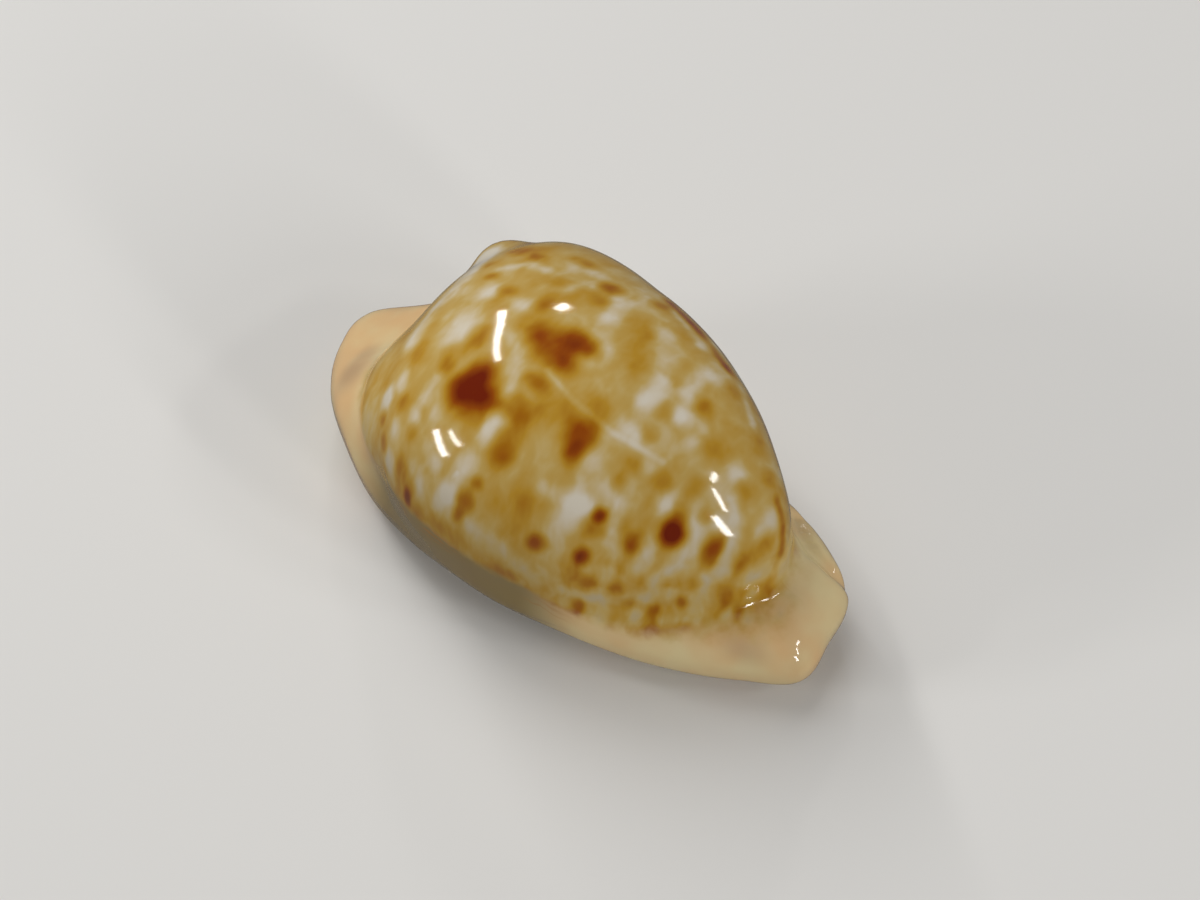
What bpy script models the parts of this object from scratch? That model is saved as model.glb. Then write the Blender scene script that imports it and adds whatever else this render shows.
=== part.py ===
"""A cowrie shell, Cypraeovula coronata, as one hollow solid.

The shell lies on its base. Its length runs along X, with the front (anterior) end at +X, and the
outer lip is on the -Y side. Sizes are in millimetres up to the last step, which writes metres.

The mesh is a UV sphere pushed in through its own south pole. Its first rings go over the dome and
round the callus, the next cross the base, roll over the toothed lips, and line the hollow inside.
"""

import math

import bmesh
import bpy
import numpy as np

MM = 0.001

# Driving dimensions, in millimetres: the dome, the wall and the lips
DOME_HALF_LENGTH = 9.80
DOME_HALF_WIDTH = 7.35
DOME_WIDEST_AT = 5.53
DOME_RISE = 6.73
DOME_DROP = 6.41
DOME_CENTRE = (0.14, 0.10)
WALL = 1.35
LIP_THICKNESS = 1.9

# How the dome's width and height fall off towards the front end, and how square its sections are
WIDTH_TAPER = (-0.27, -0.12)
HEIGHT_TAPER = (-0.11, -0.07)
PLAN_SQUARENESS = 2.07
LOWER_SQUARENESS = 2.54
FIELD_SCALE = 6.5

# Round swellings that make the dome blunt: over the spire, at its tip, and at the two shoulders
SWELLINGS = (
    {"centre": (-4.43, 3.16, 5.91), "radius": 4.42, "blend": 1.6},
    {"centre": (-8.19, 4.78, 7.12), "radius": 1.02, "blend": 1.5},
    {"centre": (-6.90, -1.90, 4.40), "radius": 3.30, "blend": 1.3},
    {"centre": (6.45, -0.20, 3.90), "radius": 3.25, "blend": 1.3},
)

# The callus round the base, as (plan angle in degrees, value), with 0 at +X and 90 at +Y
CALLUS_REACH = (
    (0, 12.90), (10, 12.57), (18, 11.20), (25, 9.95), (32, 8.75), (48, 7.80), (68, 7.16), (90, 7.02),
    (112, 7.50), (136, 8.87), (152, 10.95), (164, 12.16), (174, 14.06), (182, 13.93), (192, 12.88),
    (206, 11.00), (225, 8.80), (248, 6.86), (270, 6.54), (292, 6.85), (315, 8.10), (330, 9.70),
    (342, 11.50), (350, 13.07),
)
CALLUS_DEPTH = (
    (0, 2.59), (45, 1.90), (90, 1.23), (135, 1.82), (180, 2.30), (225, 2.03), (270, 1.92), (315, 2.18),
)
CALLUS_HEIGHT = (
    (0, 2.25), (45, 2.15), (90, 2.0), (135, 2.15), (180, 2.4), (225, 2.2), (270, 2.0), (315, 2.1),
)
CALLUS_HALF_THICKNESS = (
    (0, 1.75), (45, 1.45), (90, 1.35), (135, 1.45), (180, 1.65), (225, 1.60), (270, 1.60), (315, 1.70),
)
CALLUS_DROP = 0.5
CALLUS_BLEND = (
    (0, 0.80), (45, 0.90), (90, 1.00), (135, 0.90), (180, 0.80), (205, 0.90), (225, 1.30), (248, 1.60),
    (270, 1.60), (292, 1.30), (315, 0.90),
)

# Folds on top of the callus: plan line, half width, height. The first slopes the hind end outwards
CALLUS_FOLDS = (
    {"line": ((-10.2, -5.0), (-10.2, -1.0), (-9.9, 2.0), (-9.2, 4.6)), "width": 1.80, "height": 1.30},
    {"line": ((-14.6, -1.20), (-12.8, -0.95), (-11.4, -0.85)), "width": 1.00, "height": -0.20},
    {"line": ((-14.1, 0.55), (-13.2, 0.0), (-12.3, -0.25), (-11.8, 0.3), (-11.6, 1.3)),
     "width": 0.50, "height": 0.05},
    {"line": ((13.0, 2.7), (11.4, 2.3), (10.2, 2.45), (9.4, 2.9), (8.6, 3.7)),
     "width": 0.36, "height": -0.50},
)

# The base: flat in the middle, rising to the callus, and hollowed by a canal at each end
FLAT_SHARE = 0.62
BASE_RISE = 1.25
BASE_CURVE = 1.9
BASE_BLEND = 0.45
CANALS = (
    {"line": ((-11.2, -0.85), (-14.6, -1.15)), "width": 0.70, "height": 0.60},
    {"line": ((10.4, 1.65), (13.6, 2.85)), "width": 0.80, "height": 0.60},
)

# The aperture: its middle line in plan and its half width, from the hind end to the front end
SLIT_LINE = ((-12.0, -0.85), (-6.0, -1.05), (0.0, -1.05), (6.0, -0.25), (10.9, 1.8))
SLIT_HALF_WIDTH = ((-12.0, 0.36), (-6.0, 0.44), (0.0, 0.52), (6.0, 0.72), (8.8, 0.84), (10.9, 0.55))
LIP_REACH = 2.3
LIP_ROLL = 1.05
LIP_ROOM = 0.48

# Each tooth takes four segments of the mesh, and each end of the aperture twelve
TOOTH_SEGMENTS = 4
END_SEGMENTS = 12
COLUMELLAR_TEETH = {"count": 14, "groove": 0.24}
LABRAL_TEETH = {"count": 16, "groove": 0.34}

# The hollow: a rounded room under the dome, open to the aperture
ROOM_CENTRE = (-0.1, 0.25, 5.7)
ROOM_LATITUDES = (-90, -62, -36, -11, 13, 32, 50, 66, 79)

# How the rings of the mesh are shared out. On the lip: share of its reach left, rise, groove
DOME_RINGS = 9
CALLUS_RINGS = 6
BASE_RINGS = 3
LIP_STEPS = (
    (1.00, 0.00, 0.0), (0.72, 0.00, 0.4), (0.46, 0.00, 0.9), (0.28, 0.12, 1.0), (0.13, 0.38, 1.0),
    (0.04, 0.72, 1.0), (0.00, 1.00, 0.7),
)
RING_CROWDING = 1.25
THROAT_STEP = 0.25
SHARP_ANGLE = 85

# Upright sections through the outside, each swept round a focus inside the callus
PLAN_OVAL = 0.62
SECTION_FOCUS = 0.62
SECTION_END = -150
SECTION_POINTS = 240
CALLUS_PAST_EDGE = 0.55
CALLUS_PAST_LIP = 0.35

# The fold where the callus meets the dome: its highest place, and its smoothing in segments
FOLD_TOP = 6.5
FOLD_SMOOTHING = 3.0
FOLD_WINDOW = 3.0

# Solving for the surface: how far to look from inside, and how often to halve the way
SOLVE_REACH = 22.0
SOLVE_STEPS = 26
INSIDE_LIFT = 0.3
INSIDE_DOME = 5.0
SLOPE_STEP = 0.05

COLUMELLAR_SEGMENTS = COLUMELLAR_TEETH["count"] * TOOTH_SEGMENTS
LABRAL_SEGMENTS = LABRAL_TEETH["count"] * TOOTH_SEGMENTS
SEGMENTS = COLUMELLAR_SEGMENTS + LABRAL_SEGMENTS + 2 * END_SEGMENTS
RINGS = DOME_RINGS + CALLUS_RINGS + BASE_RINGS + len(LIP_STEPS) + len(ROOM_LATITUDES)


def through(knots, at):
    """Smooth curve through (place, value) knots."""
    places, values = np.array(knots, float).T
    steps = np.diff(places)
    slopes = np.diff(values) / steps
    inner = (slopes[:-1] * steps[1:] + slopes[1:] * steps[:-1]) / (steps[:-1] + steps[1:])
    tangents = np.concatenate([slopes[:1], inner, slopes[-1:]])
    at = np.clip(at, places[0], places[-1])
    i = np.clip(np.searchsorted(places, at, side="right") - 1, 0, len(steps) - 1)
    h = steps[i]
    t = (at - places[i]) / h
    rise = t * t * (3 - 2 * t)
    bend = t * (1 - t) * h * ((1 - t) * tangents[i] - t * tangents[i + 1])
    return values[i] * (1 - rise) + values[i + 1] * rise + bend


def around(knots, angle):
    """Smooth closed curve through (angle in degrees, value) knots, at an angle in radians."""
    turns = [(a + turn, value) for turn in (-360, 0, 360) for a, value in knots]
    return through(turns, np.degrees(angle) % 360)


def smooth_min(a, b, blend):
    """The smaller of two distances, rounded over where they meet."""
    share = np.clip(0.5 + 0.5 * (b - a) / blend, 0, 1)
    return b * (1 - share) + a * share - blend * share * (1 - share)


def distance_to_line(x, y, line):
    """Distance in plan from points to a line of straight runs."""
    nearest = np.full(np.shape(x), np.inf)
    for (ax, ay), (bx, by) in zip(line, line[1:]):
        dx, dy = bx - ax, by - ay
        share = np.clip(((x - ax) * dx + (y - ay) * dy) / (dx * dx + dy * dy), 0, 1)
        nearest = np.minimum(nearest, np.hypot(x - ax - share * dx, y - ay - share * dy))
    return nearest


def relief(x, y, folds):
    """Height of the folds at points in plan."""
    height = np.zeros(np.shape(x))
    for fold in folds:
        reach = distance_to_line(x, y, fold["line"]) / fold["width"]
        height = height + fold["height"] * np.exp(-reach * reach)
    return height


def dome(x, y, z):
    """Rough signed distance to the dome, below zero inside it."""
    along = (x - DOME_CENTRE[0]) / DOME_HALF_LENGTH
    half_width = DOME_HALF_WIDTH * (1 + WIDTH_TAPER[0] * along + WIDTH_TAPER[1] * along ** 2)
    rise = DOME_RISE * (1 + HEIGHT_TAPER[0] * along + HEIGHT_TAPER[1] * along ** 2)
    across = np.abs(y - DOME_CENTRE[1]) / half_width
    plan = np.abs(along) ** PLAN_SQUARENESS + across ** PLAN_SQUARENESS
    up = z - DOME_WIDEST_AT
    upright = np.where(up > 0, (up / rise) ** 2, (np.abs(up) / DOME_DROP) ** LOWER_SQUARENESS)
    field = (np.sqrt((plan + 1e-9) ** (2 / PLAN_SQUARENESS) + upright) - 1) * FIELD_SCALE
    for ball in SWELLINGS:
        cx, cy, cz = ball["centre"]
        away = np.sqrt((x - cx) ** 2 + (y - cy) ** 2 + (z - cz) ** 2) - ball["radius"]
        field = smooth_min(field, away, ball["blend"])
    return field


def callus(x, y, z):
    """Rough signed distance to the callus that rims the base."""
    angle = np.arctan2(y, x)
    reach = around(CALLUS_REACH, angle)
    depth = around(CALLUS_DEPTH, angle)
    height = around(CALLUS_HEIGHT, angle) + relief(x, y, CALLUS_FOLDS)
    thickness = np.where(z > height, around(CALLUS_HALF_THICKNESS, angle), height + CALLUS_DROP)
    outward = np.maximum(np.hypot(x, y) - (reach - depth), 0) / depth
    return (np.sqrt(outward ** 2 + ((z - height) / thickness) ** 2) - 1) * np.minimum(depth, thickness)


def base_height(x, y):
    """Height of the underside in plan."""
    share = np.hypot(x, y) / around(CALLUS_REACH, np.arctan2(y, x))
    edge = np.clip((share - FLAT_SHARE) / (1 - FLAT_SHARE), 0, None)
    return BASE_RISE * edge ** BASE_CURVE + relief(x, y, CANALS)


def shell_field(x, y, z):
    """Rough signed distance to the whole outside of the shell."""
    blend = around(CALLUS_BLEND, np.arctan2(y, x))
    above = smooth_min(dome(x, y, z), callus(x, y, z), blend)
    return -smooth_min(-above, z - base_height(x, y), BASE_BLEND)


def solve(place, field):
    """Points at the shares of the way, from 0 inside to 1 outside, where the field is zero."""
    low = np.zeros(np.shape(place(0.5)[0]))
    high = np.ones_like(low)
    for _ in range(SOLVE_STEPS):
        middle = (low + high) / 2
        within = field(*place(middle)) < 0
        low = np.where(within, middle, low)
        high = np.where(within, high, middle)
    return np.stack(place((low + high) / 2), axis=-1)


def plan_angle(segment):
    """Plan angle at which a segment meets the callus, in line with the aperture's two ends."""
    back = END_SEGMENTS + COLUMELLAR_SEGMENTS
    first = np.pi * segment / back
    second = np.pi * (1 + (segment - back) / (SEGMENTS - back))
    turn = np.where(segment < back, first, second)
    hind_x, hind_y = SLIT_LINE[0]
    front_x, front_y = SLIT_LINE[-1]
    front_share = 0.5 + 0.5 * np.cos(turn)
    lean = front_share * math.atan(front_y / front_x) + (1 - front_share) * math.atan(hind_y / hind_x)
    return np.arctan2(PLAN_OVAL * np.sin(turn), np.cos(turn)) + lean


def slit(segment):
    """Point on the aperture's edge in plan, and the direction away from the gap."""
    half = END_SEGMENTS / 2
    segment = segment % SEGMENTS
    hind = half + COLUMELLAR_SEGMENTS
    labral = hind + END_SEGMENTS
    start, end = SLIT_LINE[0][0], SLIT_LINE[-1][0]
    start_gap, end_gap = SLIT_HALF_WIDTH[0][1], SLIT_HALF_WIDTH[-1][1]
    first, last = start + start_gap, end - end_gap
    forward = np.clip((segment - labral) / LABRAL_SEGMENTS, 0, 1)
    backward = np.clip((segment - half) / COLUMELLAR_SEGMENTS, 0, 1)
    on_labral = segment >= hind + half
    x = np.where(on_labral, first + (last - first) * forward, last + (first - last) * backward)
    front_turn = np.where(segment < half, segment, segment - SEGMENTS) / half * np.pi / 2
    hind_turn = np.pi / 2 + (segment - hind) / END_SEGMENTS * np.pi
    in_front = (segment < half) | (segment > SEGMENTS - half)
    in_hind = (segment > hind) & (segment < labral)
    side_turn = np.where(on_labral, -np.pi / 2, np.pi / 2)
    turn = np.where(in_front, front_turn, np.where(in_hind, hind_turn, side_turn))
    slope = (through(SLIT_LINE, x + SLOPE_STEP) - through(SLIT_LINE, x - SLOPE_STEP)) / (2 * SLOPE_STEP)
    lean = np.arctan(slope)
    gap = through(SLIT_HALF_WIDTH, x)
    out = np.stack([np.cos(turn + lean), np.sin(turn + lean)], axis=-1)
    middle = np.stack([x, through(SLIT_LINE, x)], axis=-1)
    return middle + gap[..., None] * out, out


def underside(plan):
    """Points of the underside at points in plan."""
    x, y = plan[..., 0], plan[..., 1]
    inside = around(CALLUS_HEIGHT, np.arctan2(y, x)) + relief(x, y, CALLUS_FOLDS) + INSIDE_LIFT
    return solve(lambda share: (x, y, inside * (1 - share) - share), shell_field)


def lip_room(edge):
    """How wide the lip can be at points on the aperture's edge."""
    reach = around(CALLUS_REACH, np.arctan2(edge[..., 1], edge[..., 0]))
    return np.minimum(LIP_REACH, LIP_ROOM * (reach - np.hypot(edge[..., 0], edge[..., 1])))


def groove_depth(segment):
    """Depth of the grooves between the teeth, zero on a tooth's crest and round the ends."""
    first = END_SEGMENTS / 2
    depth = np.zeros(np.shape(segment))
    for teeth in (COLUMELLAR_TEETH, LABRAL_TEETH):
        last = first + teeth["count"] * TOOTH_SEGMENTS
        wave = 0.5 - 0.5 * np.cos(2 * np.pi * (segment - first) / TOOTH_SEGMENTS)
        depth = np.where((segment > first) & (segment < last), teeth["groove"] * wave, depth)
        first = last + END_SEGMENTS
    return depth


def smooth_around(values, segments):
    """Values at the segments, each blended with its neighbours round the shell."""
    step = SEGMENTS / len(segments)
    window = int(FOLD_SMOOTHING * FOLD_WINDOW / step)
    offsets = np.arange(-window, window + 1)
    weights = np.exp(-0.5 * (offsets * step / FOLD_SMOOTHING) ** 2)
    rolled = [np.roll(values, offset) * weight for offset, weight in zip(offsets, weights)]
    return sum(rolled) / weights.sum()


def outside_rings(segments, dome_count, callus_count, lip_start):
    """Rings from the top of the dome to the fold, then over the callus to its underside."""
    angle = plan_angle(segments)
    reach = around(CALLUS_REACH, angle)
    focus = SECTION_FOCUS * reach
    height = around(CALLUS_HEIGHT, angle)
    top = solve(lambda share: (0 * share, 0 * share, INSIDE_DOME + share * SOLVE_REACH), shell_field)[2]
    first = np.arctan2(top - height, -focus)
    sweep = np.linspace(0, 1, SECTION_POINTS)[:, None]
    turn = first + (math.radians(SECTION_END) - first) * sweep

    def place(share):
        out = focus + share * SOLVE_REACH * np.cos(turn)
        return out * np.cos(angle), out * np.sin(angle), height + share * SOLVE_REACH * np.sin(turn)

    section = solve(place, shell_field)
    x, y, z = np.moveaxis(section, -1, 0)
    radius = np.hypot(x, y)
    past_fold = (dome(x, y, z) > callus(x, y, z)) & (z < FOLD_TOP)
    started = np.hypot(lip_start[:, 0], lip_start[:, 1])
    past_edge = reach - CALLUS_PAST_EDGE * around(CALLUS_DEPTH, angle)
    stop = np.maximum(past_edge, started + CALLUS_PAST_LIP * (reach - started))
    steps = np.linalg.norm(np.diff(section, axis=0), axis=2)
    along = np.concatenate([np.zeros((1, len(segments))), np.cumsum(steps, axis=0)])
    columns = np.arange(len(segments))
    fold = smooth_around(along[np.argmax(past_fold, axis=0), columns], segments)
    widest = np.argmax(radius, axis=0)
    beyond = (np.arange(SECTION_POINTS)[:, None] > widest) & (radius < stop)
    last = np.argmax(beyond, axis=0)
    drop = radius[last - 1, columns] - radius[last, columns]
    share = (radius[last - 1, columns] - stop) / drop
    end = along[last - 1, columns] * (1 - share) + along[last, columns] * share

    over_dome = 1 - (1 - np.arange(1, dome_count + 1) / dome_count) ** RING_CROWDING
    over_callus = np.arange(1, callus_count + 1) / callus_count
    places = np.concatenate([over_dome[:, None] * fold, fold + over_callus[:, None] * (end - fold)])
    rings = np.zeros((len(places), len(segments), 3))
    for column in columns:
        at, known = places[:, column], along[:, column]
        for axis in range(3):
            rings[:, column, axis] = np.interp(at, known, section[:, column, axis])
    return rings, top


def shell_rings():
    """All rings of the mesh in order, and the two poles."""
    segments = np.arange(SEGMENTS, dtype=float)
    edge, out = slit(segments)
    room = lip_room(edge)[:, None]
    outside, top = outside_rings(segments, DOME_RINGS, CALLUS_RINGS, edge + out * room)

    base = []
    for step in range(1, BASE_RINGS + 1):
        share = step / (BASE_RINGS + 1)
        plan = outside[-1, :, :2] * (1 - share) + (edge + out * room) * share
        base.append(underside(plan))

    lips = []
    groove = groove_depth(segments)[:, None]
    flat = None
    for share, rise, cut in LIP_STEPS:
        plan = edge + out * room * share
        if rise == 0:
            flat = underside(plan)
            points = flat.copy()
        else:
            points = np.column_stack([plan, flat[:, 2] + rise * LIP_ROLL * room[:, 0] / LIP_REACH])
        depth = groove * cut
        points[:, :2] += out * depth * rise
        points[:, 2] += depth[:, 0] * (1 - rise)
        lips.append(points)

    cx, cy, cz = ROOM_CENTRE
    angle = plan_angle(segments)
    throat = np.maximum(LIP_THICKNESS, lips[-1][:, 2] + THROAT_STEP)
    rooms = []

    def wall(latitude):
        level = math.cos(latitude) * SOLVE_REACH
        upward = math.sin(latitude) * SOLVE_REACH
        return solve(
            lambda share: (
                cx + share * level * np.cos(angle),
                cy + share * level * np.sin(angle),
                cz + share * upward + 0 * angle,
            ),
            lambda x, y, z: dome(x, y, z) + WALL,
        )

    equator = wall(0.0)
    for degrees in ROOM_LATITUDES:
        latitude = math.radians(degrees)
        if degrees > 0:
            rooms.append(wall(latitude))
            continue
        plan = edge + (equator[:, :2] - edge) * math.cos(latitude)
        rooms.append(np.column_stack([plan, throat + (cz - throat) * (1 + math.sin(latitude))]))
    ceiling = solve(
        lambda share: (cx + 0 * share, cy + 0 * share, cz + share * SOLVE_REACH),
        lambda x, y, z: dome(x, y, z) + WALL,
    )
    rings = np.concatenate([outside, base, lips, rooms])
    return rings, np.array([0.0, 0.0, top]), ceiling


def glaze():
    """The shell's own finish: a glossy peach cream."""
    material = bpy.data.materials.new("shell_glaze")
    material.use_nodes = True
    surface = material.node_tree.nodes["Principled BSDF"]
    surface.inputs["Base Color"].default_value = (0.58, 0.37, 0.18, 1.0)
    surface.inputs["Roughness"].default_value = 0.14
    surface.inputs["Metallic"].default_value = 0.0
    return material


def clear_scene():
    for existing in list(bpy.data.objects):
        bpy.data.objects.remove(existing, do_unlink=True)


def build_shell():
    """The shell as an object, standing on its base with its footprint's middle over the origin."""
    rings, top, ceiling = shell_rings()
    sphere = bmesh.new()
    bmesh.ops.create_uvsphere(sphere, u_segments=SEGMENTS, v_segments=RINGS + 1, radius=1.0)
    for vertex in sphere.verts:
        x, y, z = vertex.co
        ring = round(math.acos(max(-1.0, min(1.0, z))) / math.pi * (RINGS + 1))
        segment = round(math.atan2(y, x) / (2 * math.pi) * SEGMENTS) % SEGMENTS
        if ring == 0:
            vertex.co = top
        elif ring == RINGS + 1:
            vertex.co = ceiling
        else:
            vertex.co = rings[ring - 1, segment]
    points = np.array([vertex.co for vertex in sphere.verts])
    low, high = points.min(axis=0), points.max(axis=0)
    middle = (low + high) / 2
    for vertex in sphere.verts:
        x, y, z = vertex.co
        vertex.co = ((x - middle[0]) * MM, (y - middle[1]) * MM, (z - low[2]) * MM)
    bmesh.ops.recalc_face_normals(sphere, faces=sphere.faces)
    mesh = bpy.data.meshes.new("cowrie_shell")
    sphere.to_mesh(mesh)
    sphere.free()
    mesh.materials.append(glaze())
    mesh.shade_smooth()
    mesh.set_sharp_from_angle(angle=math.radians(SHARP_ANGLE))
    return bpy.data.objects.new("cowrie_shell", mesh)


clear_scene()
collection = bpy.data.collections.new("cowrie")
bpy.context.scene.collection.children.link(collection)
collection.objects.link(build_shell())
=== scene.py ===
"""A cowrie shell, Cypraeovula coronata, dressed for rendering.

Laid out as a Blender add-on and run as a script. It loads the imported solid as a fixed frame, puts a
finely shaped shell of the same form in its place, paints the enamel and lights a plain studio.

The shell's own measures are in millimetres, in a frame whose length runs along X with the front
(anterior) end at +X, and whose outer lip is on the -Y side. Properties that a user sees are metres.
"""

import math

import bmesh
import bpy
import numpy as np
from bpy.props import FloatProperty, FloatVectorProperty, IntProperty, PointerProperty
from mathutils import Matrix, Vector


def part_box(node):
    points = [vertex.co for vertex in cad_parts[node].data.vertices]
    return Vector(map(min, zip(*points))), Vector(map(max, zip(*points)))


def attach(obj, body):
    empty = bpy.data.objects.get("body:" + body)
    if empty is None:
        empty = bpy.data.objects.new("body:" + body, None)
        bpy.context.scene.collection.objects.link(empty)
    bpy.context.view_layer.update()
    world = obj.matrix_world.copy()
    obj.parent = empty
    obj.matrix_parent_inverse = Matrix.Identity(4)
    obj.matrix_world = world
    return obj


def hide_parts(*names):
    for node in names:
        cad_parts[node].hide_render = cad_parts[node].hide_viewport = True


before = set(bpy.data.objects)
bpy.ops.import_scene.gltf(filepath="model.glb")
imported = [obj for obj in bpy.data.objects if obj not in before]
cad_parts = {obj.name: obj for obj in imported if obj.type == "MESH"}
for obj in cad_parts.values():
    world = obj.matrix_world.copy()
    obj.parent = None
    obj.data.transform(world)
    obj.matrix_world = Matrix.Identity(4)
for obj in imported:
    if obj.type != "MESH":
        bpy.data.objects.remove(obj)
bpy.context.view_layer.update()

bl_info = {
    "name": "Cowrie Shell",
    "version": (1, 0, 0),
    "blender": (4, 5, 0),
    "location": "3D View > Sidebar > Cowrie",
    "description": "Shapes, paints and lights a cowrie shell",
    "category": "Object",
}

NODE = "cowrie_shell"
PIECE = "cowrie_enamel_shell"
MM = 0.001

# The shell's driving dimensions, in millimetres: the dome, the wall and the lips
DOME_HALF_LENGTH = 9.80
DOME_HALF_WIDTH = 7.35
DOME_WIDEST_AT = 5.53
DOME_RISE = 6.73
DOME_DROP = 6.41
DOME_CENTRE = (0.14, 0.10)
WALL = 1.35
LIP_THICKNESS = 1.9
TINY = 1e-9

# How the dome's width and height fall off towards the front end, and how square its sections are
WIDTH_TAPER = (-0.27, -0.12)
HEIGHT_TAPER = (-0.11, -0.07)
PLAN_SQUARENESS = 2.07
LOWER_SQUARENESS = 2.54
FIELD_SCALE = 6.5

# Round swellings that make the dome blunt, over the spire, at its tip, and at the two shoulders:
# centre, radius and blend
SWELLINGS = (
    ((-4.43, 3.16, 5.91), 4.42, 1.6),
    ((-8.19, 4.78, 7.12), 1.02, 1.5),
    ((-6.90, -1.90, 4.40), 3.30, 1.3),
    ((6.45, -0.20, 3.90), 3.25, 1.3),
)

# The callus round the base, as (plan angle in degrees, value), with 0 at +X and 90 at +Y
CALLUS_REACH = (
    (0, 12.90), (10, 12.57), (18, 11.20), (25, 9.95), (32, 8.75), (48, 7.80), (68, 7.16), (90, 7.02),
    (112, 7.50), (136, 8.87), (152, 10.95), (164, 12.16), (174, 14.06), (182, 13.93), (192, 12.88),
    (206, 11.00), (225, 8.80), (248, 6.86), (270, 6.54), (292, 6.85), (315, 8.10), (330, 9.70),
    (342, 11.50), (350, 13.07),
)
CALLUS_DEPTH = (
    (0, 2.59), (45, 1.90), (90, 1.23), (135, 1.82), (180, 2.30), (225, 2.03), (270, 1.92), (315, 2.18),
)
CALLUS_HEIGHT = (
    (0, 2.25), (45, 2.15), (90, 2.0), (135, 2.15), (180, 2.4), (225, 2.2), (270, 2.0), (315, 2.1),
)
CALLUS_HALF_THICKNESS = (
    (0, 1.75), (45, 1.45), (90, 1.35), (135, 1.45), (180, 1.65), (225, 1.60), (270, 1.60), (315, 1.70),
)
CALLUS_DROP = 0.5
CALLUS_BLEND = (
    (0, 0.80), (45, 0.90), (90, 1.00), (135, 0.90), (180, 0.80), (205, 0.90), (225, 1.30), (248, 1.60),
    (270, 1.60), (292, 1.30), (315, 0.90),
)

# Folds on top of the callus: plan line, half width, height. The first slopes the hind end outwards
CALLUS_FOLDS = (
    (((-10.2, -5.0), (-10.2, -1.0), (-9.9, 2.0), (-9.2, 4.6)), 1.80, 1.30),
    (((-14.6, -1.20), (-12.8, -0.95), (-11.4, -0.85)), 1.00, -0.20),
    (((-14.1, 0.55), (-13.2, 0.0), (-12.3, -0.25), (-11.8, 0.3), (-11.6, 1.3)), 0.50, 0.05),
    (((13.0, 2.7), (11.4, 2.3), (10.2, 2.45), (9.4, 2.9), (8.6, 3.7)), 0.36, -0.50),
)

# The base: flat in the middle, rising to the callus, and hollowed by a canal at each end. A canal is
# given as a fold is.
FLAT_SHARE = 0.62
BASE_RISE = 1.25
BASE_CURVE = 1.9
BASE_BLEND = 0.45
CANALS = (
    (((-11.2, -0.85), (-14.6, -1.15)), 0.70, 0.60),
    (((10.4, 1.65), (13.6, 2.85)), 0.80, 0.60),
)

# The aperture: its middle line in plan and its half width, from the hind end to the front end
SLIT_LINE = ((-12.0, -0.85), (-6.0, -1.05), (0.0, -1.05), (6.0, -0.25), (10.9, 1.8))
SLIT_HALF_WIDTH = ((-12.0, 0.36), (-6.0, 0.44), (0.0, 0.52), (6.0, 0.72), (8.8, 0.84), (10.9, 0.55))
LIP_REACH = 2.3
LIP_ROLL = 1.05
LIP_ROOM = 0.48

# Each tooth takes four segments of the mesh, and each end of the aperture twelve
TOOTH_SEGMENTS = 4
END_SEGMENTS = 12
COLUMELLAR_TEETH = 14
LABRAL_TEETH = 16

# The hollow: a rounded room under the dome, open to the aperture
ROOM_CENTRE = (-0.1, 0.25, 5.7)
ROOM_LATITUDES = (-90, -62, -36, -11, 13, 32, 50, 66, 79)

# How the rings of the mesh are shared out. On the lip: share of its reach left, rise, groove
LIP_STEPS = (
    (1.00, 0.00, 0.0), (0.72, 0.00, 0.4), (0.46, 0.00, 0.9), (0.28, 0.12, 1.0), (0.13, 0.38, 1.0),
    (0.04, 0.72, 1.0), (0.00, 1.00, 0.7),
)
RING_CROWDING = 1.25
THROAT_STEP = 0.25

# Upright sections through the outside, each swept round a focus inside the callus
PLAN_OVAL = 0.62
SECTION_FOCUS = 0.62
SECTION_END = -150
SECTION_POINTS = 240
CALLUS_PAST_EDGE = 0.55
CALLUS_PAST_LIP = 0.35

# The fold where the callus meets the dome: its highest place, and its smoothing in segments
FOLD_TOP = 6.5
FOLD_SMOOTHING = 3.0
FOLD_WINDOW = 3.0

# Solving for the surface: how far to look from inside, how often to halve the way, how far over the
# callus's middle and over the base is surely inside, and the step that slopes are taken over
SOLVE_REACH = 22.0
SOLVE_STEPS = 26
INSIDE_LIFT = 0.3
INSIDE_DOME = 5.0
SLOPE_STEP = 0.05

COLUMELLAR_SEGMENTS = COLUMELLAR_TEETH * TOOTH_SEGMENTS
LABRAL_SEGMENTS = LABRAL_TEETH * TOOTH_SEGMENTS
SEGMENTS = COLUMELLAR_SEGMENTS + LABRAL_SEGMENTS + 2 * END_SEGMENTS

# How finely the visible shell is divided: parts of one segment of the solid, and rings of each stretch
FINE_PARTS = 5
FINE_DOME_RINGS = 42
FINE_CALLUS_RINGS = 30
FINE_BASE_RINGS = 9
FINE_LIP_RINGS = 22
FINE_ROOM_RINGS = 16
CREST_SHARPNESS = 1.5

# Slow waves of the enamel: radians a millimetre along X, Y and Z, start in radians, and height
WAVES = (
    ((1.30, 0.60, 0.20), 0.4, 0.010),
    ((-0.70, 1.40, 0.90), 1.9, 0.008),
    ((2.30, -0.50, 1.30), 3.1, 0.004),
    ((0.40, 2.10, -2.00), 5.0, 0.004),
)

# The photograph's frame, in pixels, and where its view puts the shell
FRAME_WIDTH = 1200
FRAME_HEIGHT = 900
PIXELS_PER_MM = 23.0
TARGET = (0.0, 0.0, 5.0)
TARGET_PIXEL = (587.5, 454.0)
SENSOR = 36.0

# Looking for the surface along a line of sight, in millimetres either side of the target
SIGHT_START = -22.0
SIGHT_END = 20.0
SIGHT_STEP = 0.15

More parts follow.
